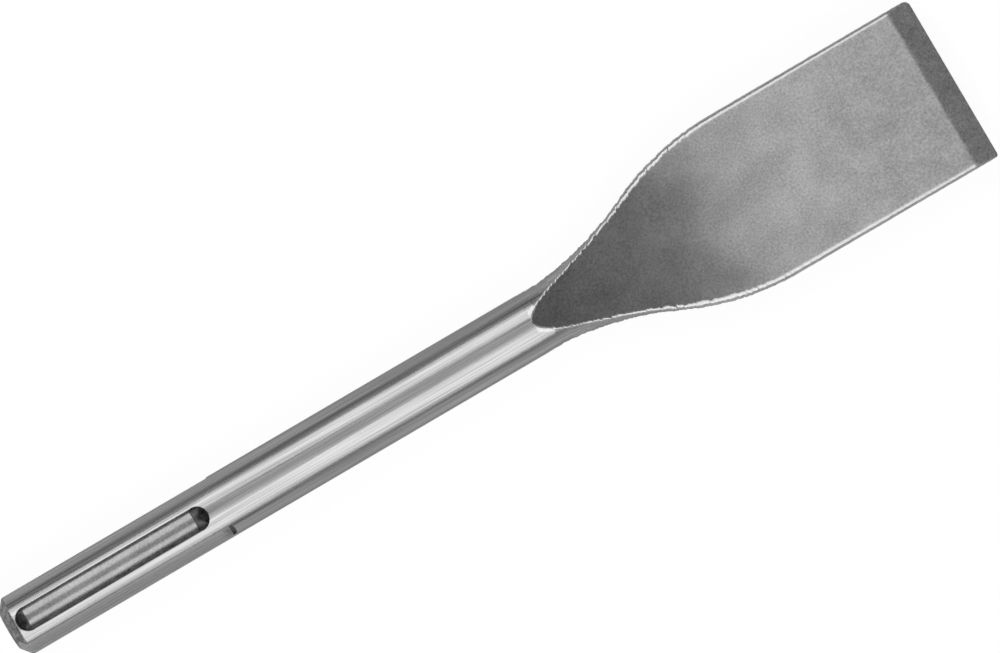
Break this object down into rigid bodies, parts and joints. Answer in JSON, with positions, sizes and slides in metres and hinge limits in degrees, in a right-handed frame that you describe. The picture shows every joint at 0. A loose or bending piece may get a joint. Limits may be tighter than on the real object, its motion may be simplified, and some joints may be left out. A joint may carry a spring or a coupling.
{
  "type": "flat chisel",
  "caption": "Wide flat chisel for a rotary hammer, forged in one piece from a round bar, with a grooved and slotted shank.",
  "frame": {"origin": "centre of the struck end face of the shank", "axes": "+X along the bar towards the cutting edge, +Y across the blade, +Z square to the face of the blade and to the locking groove that the picture shows"},
  "size_m": [0.3, 0.05, 0.018],
  "materials": {
    "steel": "satin"
  },
  "bodies": {
    "root": {"chisel": "steel"}
  },
  "joints": []
}
